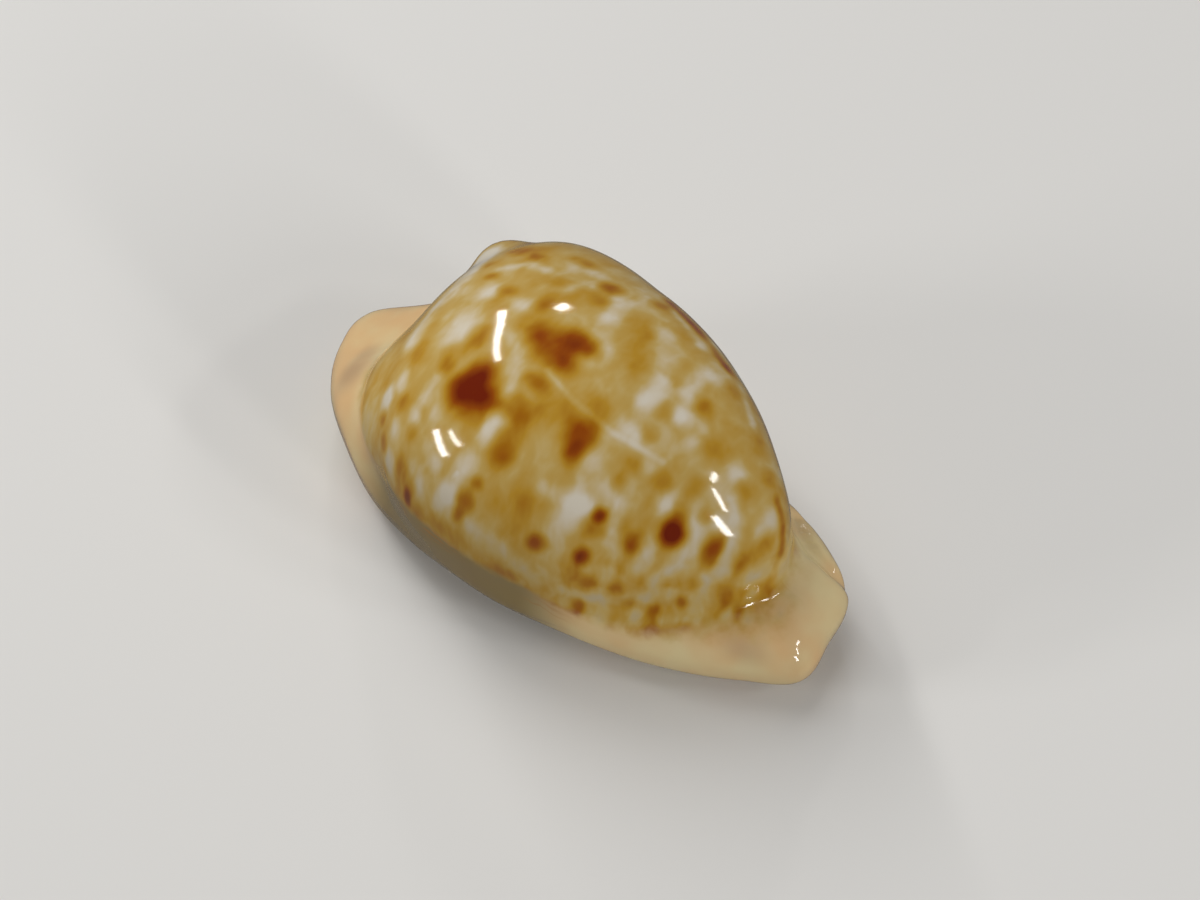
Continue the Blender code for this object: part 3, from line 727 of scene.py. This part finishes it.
def fine_rings(form):
    """All rings of the fine surface in order, and its two poles."""
    segments = np.arange(SEGMENTS * form.fine_parts) / form.fine_parts
    edge, out = slit(segments)
    room = lip_room(edge)[:, None]
    lip_start = edge + out * room
    outside, top = outside_rings(segments, FINE_DOME_RINGS, FINE_CALLUS_RINGS, lip_start)

    base = []
    for step in range(1, FINE_BASE_RINGS + 1):
        share = step / (FINE_BASE_RINGS + 1)
        base.append(underside(outside[-1, :, :2] * (1 - share) + lip_start * share))

    shares, rises, cuts = ([(i, step[part]) for i, step in enumerate(LIP_STEPS)] for part in range(3))
    last_flat = max(i for i, rise in rises if rise == 0)
    rolled_from = underside(edge + out * room * shares[last_flat][1])[:, 2]
    groove = groove_depth(segments, form)
    lips = []
    for step in np.linspace(0, len(LIP_STEPS) - 1, FINE_LIP_RINGS):
        share, rise, cut = (float(through(knots, step)) for knots in (shares, rises, cuts))
        rise = max(0.0, rise)
        plan = edge + out * (room * share + (groove * cut * rise)[:, None])
        if step <= last_flat:
            height = underside(edge + out * room * share)[:, 2]
        else:
            height = rolled_from + rise * LIP_ROLL * room[:, 0] / LIP_REACH
        lips.append(np.column_stack([plan, height + groove * cut * (1 - rise)]))

    cx, cy, cz = ROOM_CENTRE
    angle = plan_angle(segments)
    throat = np.maximum(LIP_THICKNESS, lips[-1][:, 2] + THROAT_STEP)

    def room_wall(latitude, angle):
        level = math.cos(latitude) * SOLVE_REACH
        upward = math.sin(latitude) * SOLVE_REACH
        return solve(
            lambda share: (
                cx + share * level * np.cos(angle),
                cy + share * level * np.sin(angle),
                cz + share * upward + 0 * angle,
            ),
            lambda x, y, z: dome(x, y, z) + WALL,
        )

    equator = room_wall(0.0, angle)
    rooms = []
    for degrees in np.linspace(ROOM_LATITUDES[0], ROOM_LATITUDES[-1], FINE_ROOM_RINGS):
        latitude = math.radians(degrees)
        if degrees > 0:
            rooms.append(room_wall(latitude, angle))
            continue
        plan = edge + (equator[:, :2] - edge) * math.cos(latitude)
        rooms.append(np.column_stack([plan, throat + (cz - throat) * (1 + math.sin(latitude))]))
    ceiling = room_wall(math.pi / 2, np.zeros(1))[0]
    return np.concatenate([outside, base, lips, rooms]), np.array([0.0, 0.0, top]), ceiling


def frame_shift():
    """What the shell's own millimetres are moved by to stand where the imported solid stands."""
    segments = np.arange(SEGMENTS, dtype=float)
    edge, out = slit(segments)
    lip_start = edge + out * lip_room(edge)[:, None]
    points = outside_rings(segments, FINE_DOME_RINGS, FINE_CALLUS_RINGS, lip_start)[0].reshape(-1, 3)
    low, high = (np.array(corner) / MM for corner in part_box(NODE))
    return (low + high)[:2] / 2 - (points.min(axis=0) + points.max(axis=0))[:2] / 2


def camera_axes(studio):
    """Directions from the target back to the camera, to its right, and up its picture."""
    rise, turn = studio.elevation, studio.azimuth
    back = Vector((math.sin(turn) * math.cos(rise), -math.cos(turn) * math.cos(rise), math.sin(rise)))
    right = Vector((math.cos(turn), math.sin(turn), 0.0))
    return back, right, back.cross(right)


def unit(rows):
    """Rows of X, Y and Z, each made one long."""
    return rows / np.linalg.norm(rows, axis=1)[:, None]


def on_shell(pixels, studio):
    """Places on the shell, in its own millimetres, that the photograph shows at these pixels."""
    back, right, up = (np.array(axis) for axis in camera_axes(studio))
    distance = studio.distance / MM
    across, down = (np.array(pixels, float) - TARGET_PIXEL).T / (PIXELS_PER_MM * distance)
    sight = unit(across[:, None] * right - down[:, None] * up - back)
    eye = np.array(TARGET) + back * distance
    near = np.full(len(sight), np.nan)
    for reach in np.arange(SIGHT_START, SIGHT_END, SIGHT_STEP) + distance:
        inside = shell_field(*(eye + sight * reach).T) < 0
        near = np.where(inside & np.isnan(near), reach, near)
    missed = np.isnan(near)
    if missed.any():
        raise RuntimeError(f"no shell at pixel {np.array(pixels)[missed][0]}")

    def place(share):
        reach = near - np.ravel(share) * SIGHT_STEP
        return tuple((eye + sight * reach[:, None]).T)

    return solve(place, shell_field)


def mirrored_ends(studio):
    """Both ends of each lamp, in the shell's millimetres, mirrored from its highlight's ends."""
    ends = on_shell([pixel for lamp in LAMPS for pixel in lamp[2:]], studio)
    steps = np.eye(3) * SLOPE_STEP
    slopes = [shell_field(*(ends + step).T) - shell_field(*(ends - step).T) for step in steps]
    normals = unit(np.stack(slopes, axis=-1))
    sight = unit(ends - np.array(TARGET) - np.array(camera_axes(studio)[0]) * studio.distance / MM)
    glance = sight - 2 * (sight * normals).sum(axis=1)[:, None] * normals
    return (ends + glance * LAMP_DISTANCE).reshape(-1, 2, 3)


def on_flank(marks):
    """Places on the dome at each mark's plan angle and height."""
    angle = np.radians([mark[0] for mark in marks])
    height = np.array([mark[1] for mark in marks])

    def place(share):
        return share * SOLVE_REACH * np.cos(angle), share * SOLVE_REACH * np.sin(angle), height

    return solve(place, shell_field)


def arithmetic(operation):
    """Two methods that add one Math node: the usual one and its reflected form."""

    def usual(self, other):
        return self.recipe.node("ShaderNodeMath", {"operation": operation}, {0: self, 1: other})

    def reflected(self, other):
        return self.recipe.node("ShaderNodeMath", {"operation": operation}, {0: other, 1: self})

    return usual, reflected


class Value:
    """A number that varies over the surface, with the arithmetic that the finishes use."""

    def __init__(self, recipe, socket):
        self.recipe = recipe
        self.socket = socket

    __add__, __radd__ = arithmetic("ADD")
    __sub__, __rsub__ = arithmetic("SUBTRACT")
    __mul__, __rmul__ = arithmetic("MULTIPLY")
    __truediv__, __rtruediv__ = arithmetic("DIVIDE")

    def __abs__(self):
        return self.recipe.node("ShaderNodeMath", {"operation": "ABSOLUTE"}, {0: self})


class Recipe:
    """The nodes of one material. The enamel keeps its place on the shell and its stretch of painted
    shade here.
    """

    def __init__(self, name):
        self.material = bpy.data.materials.new(name)
        self.material.use_nodes = True
        self.tree = self.material.node_tree
        self.tree.nodes.clear()
        self.place = None
        self.painted_shade_stretch = None

    def node(self, kind, settings=None, inputs=None, output=0):
        """Adds a node: its settings first, then its sockets' values or links."""
        made = self.tree.nodes.new(kind)
        for key, value in (settings or {}).items():
            if key == "stops":
                self.set_stops(made.color_ramp, value)
            elif key == "blend":
                made.color_ramp.interpolation = value
            else:
                setattr(made, key, value)
        for key, value in (inputs or {}).items():
            if isinstance(value, Value):
                self.tree.links.new(value.socket, made.inputs[key])
            else:
                made.inputs[key].default_value = value
        return Value(self, made.outputs[output])

    def finish(self, inputs):
        """Ends the material with its surface shader."""
        surface = self.node("ShaderNodeBsdfPrincipled", None, inputs)
        output = self.tree.nodes.new("ShaderNodeOutputMaterial")
        self.tree.links.new(surface.socket, output.inputs["Surface"])
        return self.material

    @staticmethod
    def set_stops(ramp, stops):
        """Puts (place, colour) stops on a colour ramp."""
        while len(ramp.elements) < len(stops):
            ramp.elements.new(1.0)
        for element, (place, tint) in zip(ramp.elements, stops):
            element.position = place
            element.color = (*tint, 1.0)

    def fall(self, value, start, end, top=1.0):
        """Falls smoothly from top at start to 0 at end. Smooth steps hold their ends by themselves."""
        return self.node(
            "ShaderNodeMapRange", {"interpolation_type": "SMOOTHSTEP", "clamp": False},
            {"Value": value, "From Min": start, "From Max": end, "To Min": top, "To Max": 0.0})

    def noise(self, place, scale, detail=2.0, output="Factor"):
        """Soft noise with so many features a millimetre."""
        return self.node(
            "ShaderNodeTexNoise", {"noise_dimensions": "3D"},
            {"Vector": place, "Scale": scale, "Detail": detail}, ("Factor", "Color").index(output))

    def swing(self, place, scale, detail):
        """Soft noise that swings as far below zero as above it."""
        return self.noise(place, scale, detail) - 0.5

    def ramp(self, value, stops, blend="LINEAR"):
        """Colour that a value picks from (place, colour) stops."""
        return self.node("ShaderNodeValToRGB", {"blend": blend, "stops": stops}, {0: value})

    def vector(self, operation, *values, output=0):
        """One step of vector arithmetic."""
        return self.node(
            "ShaderNodeVectorMath", {"operation": operation}, dict(enumerate(values)), output)

    def mix(self, share, first, second):
        """The first colour where the share is 0, the second where it is 1."""
        first, second = (tint if isinstance(tint, Value) else (*tint, 1.0) for tint in (first, second))
        return self.node(
            "ShaderNodeMix", {"data_type": "RGBA"}, {0: share, 6: first, 7: second}, 2)

    def maximum(self, first, second):
        """The larger of two values."""
        return self.node("ShaderNodeMath", {"operation": "MAXIMUM"}, {0: first, 1: second})

    def run(self, place, start, end, width, strength):
        """A straight soft line between two places."""
        along = Vector(end) - Vector(start)
        apart = self.vector("SUBTRACT", place, start)
        share = self.vector("DOT_PRODUCT", apart, tuple(along / along.length_squared), output=1)
        held = self.node("ShaderNodeClamp", None, {0: share})
        nearest = self.node("ShaderNodeVectorMath", {"operation": "SCALE"}, {0: tuple(along), 3: held})
        away = self.vector("LENGTH", self.vector("SUBTRACT", apart, nearest), output=1)
        return self.fall(away, *(width * share for share in LINE_FADE), top=strength)

    def marks(self, place, centres, sizes):
        """Several soft oval marks, added up where they overlap."""
        total = None
        for centre, (half_length, half_breadth, strength) in zip(centres, sizes):
            size = (1 / half_length, 1 / half_breadth, 1 / half_breadth)
            start = tuple(-c * s for c, s in zip(centre, size))
            offset = self.vector("MULTIPLY_ADD", place, size, start)
            away = self.vector("LENGTH", offset, output=1)
            mark = self.fall(away, *MARK_FADE, top=strength)
            total = mark if total is None else total + mark
        return total


def inside_finish(finish):
    """Plain smooth finish of the inside."""
    recipe = Recipe("cowrie_inside")
    return recipe.finish({"Base Color": (*finish.inside, 1.0), "Roughness": INSIDE_ROUGHNESS})


def lines_at(recipe, place, lines, centres):
    """Several soft lines, added up where they cross. Each line has its own places on the shell."""
    total = None
    for width, strength, *pixels in lines:
        points, centres = centres[:len(pixels)], centres[len(pixels):]
        drawn = None
        for start, end in zip(points, points[1:]):
            run = recipe.run(place, start, end, width, strength)
            drawn = run if drawn is None else recipe.maximum(drawn, run)
        total = drawn if total is None else total + drawn
    return total


def mottled_back(recipe, finish, spots, wander, wandered, z):
    """Colour of the back: clouds of ochre and milk, with the placed markings over them, and painted
    shade in olive low beside the outer lip.
    """
    drifting = recipe.vector("MULTIPLY_ADD", wander, (CLOUD_WANDER,) * 3, recipe.place)
    transverse = recipe.vector("MULTIPLY", drifting, CLOUD_STRETCH)
    upright = recipe.vector("MULTIPLY", wandered, COLUMN_STRETCH)
    broad = recipe.swing(transverse, BROAD_SCALE, 1.0)
    cells = recipe.swing(transverse, CELL_SCALE, 1.0)
    fine = recipe.swing(transverse, FINE_SCALE, 1.0)
    columns = recipe.swing(upright, COLUMN_SCALE, 0.0)
    low = recipe.fall(z, *LOW_FLANKS)
    clouds = (
        GROUND + broad * BROAD_WEIGHT + cells * CELL_WEIGHT
        + fine * (FINE_WEIGHT + low * FINE_LOW_WEIGHT) + columns * (low * COLUMN_WEIGHT))
    clear = (
        recipe.marks(wandered, *spots["milky"])
        + lines_at(recipe, wandered, MILKY_STREAKS, spots["milky_streaks"])
        + lines_at(recipe, recipe.place, PALE_LINES, spots["pale_lines"]))
    stain = (
        recipe.marks(wandered, *spots["brown"])
        + lines_at(recipe, wandered, BROWN_STREAKS, spots["brown_streaks"]))
    marked = clouds + stain * STAINING - clear * CLEARING

    # Milk turning to darker lilac low on the flanks: partly own tint, partly painted shade
    pale = recipe.mix(low, finish.milk, finish.lilac)
    tints = recipe.ramp(marked, [(share, getattr(finish, tint)) for share, tint in TINTS])
    back = recipe.mix(recipe.fall(marked, *MILK_FADE), tints, pale)
    # Painted shade: low on the flank beside the outer lip the back is darkened towards olive
    return recipe.mix(low * recipe.painted_shade_stretch * PAINTED_SHADE_BACK, back, finish.painted_shade_olive)


def height_over_edge(recipe, x, y, z):
    """Height over the line where the mottled pattern ends, in millimetres."""
    turn = recipe.node("ShaderNodeMath", {"operation": "ARCTAN2"}, {0: 0 - y, 1: 0 - x})
    stops = [(angle / 360, (height / EDGE_SCALE,) * 3) for angle, height in PATTERN_EDGE]
    edge = recipe.ramp(turn / (2 * math.pi) + 0.5, stops, "B_SPLINE")
    ragged = recipe.swing(recipe.place, EDGE_NOISE, 2.0)
    return z - edge * EDGE_SCALE + ragged * EDGE_RAGGED


def callus_colour(recipe, finish, spots, wandered, above):
    """Colour of the thick margin: peach cream, with painted shade in grey in its hollows and in olive
    low beside the outer lip, where faint growth lines show.
    """
    pale = recipe.fall(recipe.noise(recipe.place, CALLUS_NOISE), *CALLUS_FADE)
    callus = recipe.mix(pale, finish.callus, finish.callus_pale)
    # Painted shade in the hollows at the two ends
    callus = recipe.mix(recipe.marks(wandered, *spots["hollow_shade"]), callus, finish.callus_hollow_shade)
    lines = 0.0
    for height, width, strength in GROWTH_LINES:
        lines = recipe.fall(abs(above - height), 0.0, width, strength) + lines
    # Painted shade on the callus low beside the outer lip; the growth lines below show only in this
    # stretch
    callus = recipe.mix(recipe.painted_shade_stretch * PAINTED_SHADE_CALLUS, callus, finish.painted_shade_olive)
    breaks = recipe.fall(recipe.noise(recipe.place, GROWTH_NOISE), *GROWTH_BREAKS)
    return recipe.mix(lines * recipe.painted_shade_stretch * breaks, callus, finish.growth)


def enamel(finish, spots, shift):
    """The glossy mottled enamel of the back, and the plain callus round the base."""
    recipe = Recipe("cowrie_enamel")
    coordinates = recipe.node("ShaderNodeTexCoord", output=3)
    place = recipe.vector("MULTIPLY_ADD", coordinates, (1 / MM,) * 3, (-shift[0], -shift[1], 0.0))
    apart = recipe.node("ShaderNodeSeparateXYZ", None, {0: place}).socket.node
    x, y, z = (Value(recipe, socket) for socket in apart.outputs)
    wander = recipe.vector("SUBTRACT", recipe.noise(place, WANDER_SCALE, 1.0, "Color"), (0.5,) * 3)
    wandered = recipe.vector("MULTIPLY_ADD", wander, (WANDER,) * 3, place)
    # The stretch of painted shade low down beside the outer lip: along the shell, across it and near the
    # floor
    along = recipe.fall(abs(x + PAINTED_SHADE_MIDDLE), *PAINTED_SHADE_REACH)
    recipe.place = place
    recipe.painted_shade_stretch = along * recipe.fall(y, *PAINTED_SHADE_SIDE) * recipe.fall(z, *PAINTED_SHADE_BOTTOM)

    above = height_over_edge(recipe, x, y, z)
    back = mottled_back(recipe, finish, spots, wander, wandered, z)
    callus = callus_colour(recipe, finish, spots, wandered, above)
    tinted = recipe.mix(recipe.fall(above, *EDGE_FADE), back, callus)
    ripple = recipe.node(
        "ShaderNodeBump", None,
        {"Strength": RIPPLE_STRENGTH, "Distance": RIPPLE_HEIGHT * MM,
         "Height": recipe.noise(place, RIPPLE_SCALE)})
    return recipe.finish(
        {"Base Color": tinted, "Roughness": finish.roughness, "Specular IOR Level": SPECULAR,
         "Coat Weight": finish.glaze, "Coat Roughness": COAT_ROUGHNESS, "Normal": ripple})


def placed_spots(studio):
    """Each kind of marking with the places of its marks."""
    spots = {}
    kinds = {"brown": (BROWN, HIDDEN_BROWN), "milky": (MILKY, HIDDEN_MILKY), "hollow_shade": (HOLLOW_SHADE, ())}
    for kind, (seen, hidden) in kinds.items():
        places = on_shell([mark[:2] for mark in seen], studio)
        if hidden:
            places = np.concatenate([places, on_flank(hidden)])
        spots[kind] = (places.tolist(), [mark[2:] for mark in seen + hidden])
    streaks = {
        "milky_streaks": MILKY_STREAKS, "brown_streaks": BROWN_STREAKS, "pale_lines": PALE_LINES}
    for kind, lines in streaks.items():
        spots[kind] = on_shell([pixel for line in lines for pixel in line[2:]], studio).tolist()
    return spots


def add_object(name, data):
    """A new object in the scene."""
    thing = bpy.data.objects.new(name, data)
    bpy.context.scene.collection.objects.link(thing)
    return thing


def shell_mesh(form, shift):
    """The fine surface as a mesh: a UV sphere moved ring by ring. Its second material is inside."""
    rings, top, ceiling = fine_rings(form)
    count, segments = rings.shape[:2]
    sphere = bmesh.new()
    bmesh.ops.create_uvsphere(sphere, u_segments=segments, v_segments=count + 1, radius=1.0)
    mesh = bpy.data.meshes.new(PIECE)
    sphere.to_mesh(mesh)
    sphere.free()

    at = np.empty(len(mesh.vertices) * 3, dtype=np.float32)
    mesh.vertices.foreach_get("co", at)
    x, y, z = at.reshape(-1, 3).astype(float).T
    ring = np.rint(np.arccos(np.clip(z, -1, 1)) / math.pi * (count + 1)).astype(int)
    segment = np.rint(np.arctan2(y, x) / (2 * math.pi) * segments).astype(int) % segments
    points = rings[np.clip(ring - 1, 0, count - 1), segment]
    points[ring == 0] = top
    points[ring == count + 1] = ceiling
    points[:, :2] += shift
    mesh.vertices.foreach_set("co", (points * MM).astype(np.float32).ravel())

    corners = np.empty(len(mesh.loops), dtype=np.int32)
    mesh.loops.foreach_get("vertex_index", corners)
    starts = np.empty(len(mesh.polygons), dtype=np.int32)
    mesh.polygons.foreach_get("loop_start", starts)
    inside = np.minimum.reduceat(ring[corners], starts) > count - FINE_ROOM_RINGS
    mesh.polygons.foreach_set("material_index", inside.astype(np.int32))
    mesh.update()
    mesh.shade_smooth()
    return mesh


class COWRIE_OT_shell(bpy.types.Operator):
    """Shape and paint the fine shell in the solid's place"""

    bl_idname = "cowrie.shell"
    bl_label = "Shell"

    def execute(self, context):
        scene = context.scene
        shift = frame_shift()
        mesh = shell_mesh(scene.cowrie_form, shift)
        spots = placed_spots(scene.cowrie_studio)
        mesh.materials.append(enamel(scene.cowrie_finish, spots, shift))
        mesh.materials.append(inside_finish(scene.cowrie_finish))
        piece = add_object(PIECE, mesh)
        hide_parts(NODE)
        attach(piece, "root")
        return {"FINISHED"}


def face_shell(thing, place, centre, along):
    """Puts a light or a camera at a place, its front to the centre, its own X along a direction."""
    back = (place - centre).normalized()
    side = (along - back * along.dot(back)).normalized()
    turned = Matrix((side, back.cross(side), back)).transposed()
    thing.matrix_world = Matrix.LocRotScale(place, turned.to_quaternion(), None)


def area_light(name, long, wide, radiance):
    """A rectangular light of a given brightness, long along its own X."""
    data = bpy.data.lights.new(name, "AREA")
    data.shape = "RECTANGLE"
    data.size = long
    data.size_y = wide
    data.energy = radiance * math.pi * long * wide
    return add_object(name, data)


def add_floor(studio):
    """The plain pale floor."""
    mesh = bpy.data.meshes.new("floor")
    square = bmesh.new()
    bmesh.ops.create_grid(square, x_segments=1, y_segments=1, size=studio.floor_size / 2)
    square.to_mesh(mesh)
    square.free()
    recipe = Recipe("floor_matt")
    mesh.materials.append(recipe.finish(
        {"Base Color": (*studio.floor_colour, 1.0), "Roughness": FLOOR_ROUGHNESS}))
    floor = add_object("floor", mesh)
    floor.visible_glossy = False


def add_lights(studio, centre):
    """A large soft light overhead, the small crisp lamps, and faint light from all round."""
    soft = area_light("soft_overhead", studio.soft_size, studio.soft_size, studio.soft_radiance)
    overhead = centre + Vector(SOFT_TOWARDS).normalized() * studio.soft_distance
    face_shell(soft, overhead, centre, Vector((1, 0, 0)))
    soft.visible_glossy = False
    for (name, width_share, *_), ends in zip(LAMPS, mirrored_ends(studio) * MM):
        first, last = (Vector(end) + centre - Vector(TARGET) * MM for end in ends)
        long = (last - first).length
        light = area_light(name, long, long * width_share, studio.lamp_radiance)
        face_shell(light, (first + last) / 2, centre, last - first)
    world = bpy.data.worlds.new("studio_air")
    world.use_nodes = True
    air = world.node_tree.nodes["Background"].inputs
    air["Color"].default_value = (*studio.sky_colour, 1.0)
    air["Strength"].default_value = studio.sky
    bpy.context.scene.world = world


def add_camera(studio, target):
    """The camera, at the photograph's angle and distance."""
    back, right, up = camera_axes(studio)
    data = bpy.data.cameras.new("camera")
    data.sensor_width = SENSOR
    data.lens = SENSOR * PIXELS_PER_MM * (studio.distance / MM) / FRAME_WIDTH
    data.clip_start = CAMERA_CLIP
    camera = add_object("camera", data)
    to_right = (FRAME_WIDTH / 2 - TARGET_PIXEL[0]) / PIXELS_PER_MM * MM
    to_top = (TARGET_PIXEL[1] - FRAME_HEIGHT / 2) / PIXELS_PER_MM * MM
    middle = target + right * to_right + up * to_top
    face_shell(camera, target + back * studio.distance, middle, right)
    bpy.context.scene.camera = camera


class COWRIE_OT_studio(bpy.types.Operator):
    """Lay the floor, hang the lights and set the camera"""

    bl_idname = "cowrie.studio"
    bl_label = "Studio"

    def execute(self, context):
        studio = context.scene.cowrie_studio
        target = (Vector(TARGET) + Vector((*frame_shift(), 0.0))) * MM
        add_floor(studio)
        add_lights(studio, target)
        add_camera(studio, target)
        context.scene.view_settings.view_transform = "Standard"
        return {"FINISHED"}


class COWRIE_PT_panel(bpy.types.Panel):
    """The shell's and the studio's properties, and the operators that build them"""

    bl_label = "Cowrie Shell"
    bl_idname = "COWRIE_PT_panel"
    bl_space_type = "VIEW_3D"
    bl_region_type = "UI"
    bl_category = "Cowrie"

    def draw(self, context):
        layout = self.layout
        for title, properties, operator in SECTIONS:
            box = layout.box()
            box.label(text=title)
            group = getattr(context.scene, properties)
            for name in group.bl_rna.properties.keys():
                if name not in ("rna_type", "name"):
                    box.prop(group, name)
            if operator:
                box.operator(operator)


SECTIONS = (
    ("Form", "cowrie_form", None),
    ("Finish", "cowrie_finish", COWRIE_OT_shell.bl_idname),
    ("Studio", "cowrie_studio", COWRIE_OT_studio.bl_idname),
)
CLASSES = (ShellForm, ShellFinish, Studio, COWRIE_OT_shell, COWRIE_OT_studio, COWRIE_PT_panel)


def register():
    for cls in CLASSES:
        bpy.utils.register_class(cls)
    bpy.types.Scene.cowrie_form = PointerProperty(type=ShellForm)
    bpy.types.Scene.cowrie_finish = PointerProperty(type=ShellFinish)
    bpy.types.Scene.cowrie_studio = PointerProperty(type=Studio)


def unregister():
    del bpy.types.Scene.cowrie_studio
    del bpy.types.Scene.cowrie_finish
    del bpy.types.Scene.cowrie_form
    for cls in reversed(CLASSES):
        bpy.utils.unregister_class(cls)


def main():
    """Builds everything in order."""
    register()
    bpy.ops.cowrie.shell()
    bpy.ops.cowrie.studio()


if __name__ == "__main__":
    main()
